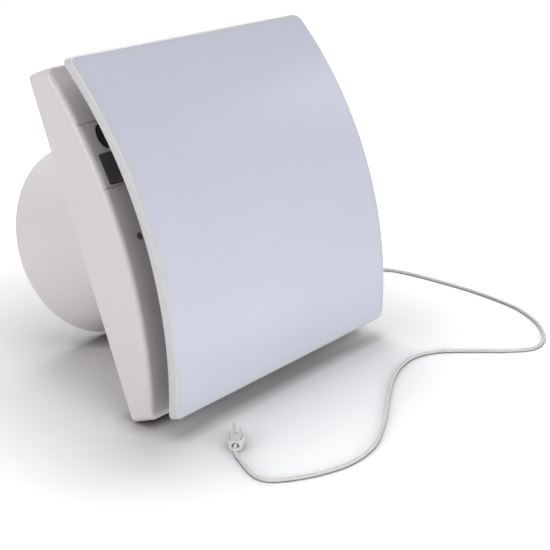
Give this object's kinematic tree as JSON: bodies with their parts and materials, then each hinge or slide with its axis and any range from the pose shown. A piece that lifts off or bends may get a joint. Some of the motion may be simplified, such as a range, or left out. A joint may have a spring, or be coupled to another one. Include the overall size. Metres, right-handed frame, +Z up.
{
  "type": "exhaust fan",
  "caption": "Wall exhaust fan for a round duct: square arched body, curved front cover, axial fan wheel and motor in a spigot, small display with a button, and a pull cord.",
  "frame": {"origin": "On the table, under the middle of the fan's bounding box without its cord. The fan leans back by 21.1 degrees on its lower rear edge and on the rim of its spigot, as in the picture.", "axes": "+X to the right of a person who faces the cover, +Y towards the back, where the duct leaves, +Z up."},
  "size_m": [0.2537, 0.218, 0.1581],
  "materials": {
    "satin_white": "satin white moulded plastic",
    "gloss_white": "polished white moulded plastic",
    "natural_white": "natural white moulded plastic",
    "display_dark": "dark smoked display window",
    "button_black": "black gloss plastic",
    "grey_plastic": "grey moulded plastic",
    "board_green": "green circuit board lacquer",
    "component_blue": "dark blue component casing",
    "cord_white": "fine white braided cord",
    "rubber_black": "soft black rubber",
    "brass": "turned brass",
    "bronze": "sintered bronze",
    "copper": "enamelled copper wire",
    "motor_steel": "zinc plated steel",
    "bright_steel": "bright zinc plated steel"
  },
  "bodies": {
    "root": {"front_casing": "satin_white", "back_plate": "satin_white", "duct_spigot": "satin_white", "inlet_guard": "satin_white", "motor_bracket": "satin_white", "motor_can": "motor_steel", "motor_end_cap": "motor_steel", "stator_core": "motor_steel", "winding_front": "copper", "winding_rear": "copper", "bearing_front": "bronze", "bearing_rear": "bronze", "motor_screw_1": "bright_steel", "motor_screw_2": "bright_steel", "casing_screw_left": "bright_steel", "casing_screw_right": "bright_steel", "control_panel": "satin_white", "display_window": "display_dark", "display_module": "grey_plastic", "control_board": "board_green", "relay": "component_blue", "capacitor": "component_blue", "button_switch": "button_black", "board_screw_1": "bright_steel", "board_screw_2": "bright_steel", "terminal_block": "natural_white", "terminal_screw_1": "brass", "terminal_screw_2": "brass", "terminal_screw_3": "brass", "cable_grommet": "rubber_black", "cable_clamp": "natural_white", "clamp_screw_1": "bright_steel", "clamp_screw_2": "bright_steel", "pull_switch_body": "grey_plastic", "pull_spring": "bright_steel", "cord_bush": "natural_white"},
    "fan_wheel": {"impeller": "satin_white", "impeller_nut": "brass", "motor_shaft": "bright_steel", "motor_rotor": "motor_steel"},
    "cover": {"front_cover": "gloss_white"},
    "button": {"mode_button": "button_black"},
    "pull": {"pull_plunger": "natural_white", "pull_cord": "cord_white", "cord_knot": "cord_white", "cord_connector": "natural_white"}
  },
  "joints": [
    {"name": "fan_spin", "type": "hinge", "parent": "root", "child": "fan_wheel", "pos_m": [0, -0.01754, 0.0737], "axis": [0, 0.9329, -0.3601], "continuous": true},
    {"name": "cover_pull_off", "type": "slide", "parent": "root", "child": "cover", "axis": [0, -0.9329, 0.3601], "range_m": [0, 0.04]},
    {"name": "button_press", "type": "slide", "parent": "root", "child": "button", "axis": [0, 0.9329, -0.3601], "range_m": [0, 0.0008], "stiffness_N_per_m": 300},
    {"name": "cord_pull", "type": "slide", "parent": "root", "child": "pull", "axis": [1, 0, 0], "range_m": [0, 0.006], "stiffness_N_per_m": 300, "deforming": ["pull_spring"]}
  ]
}
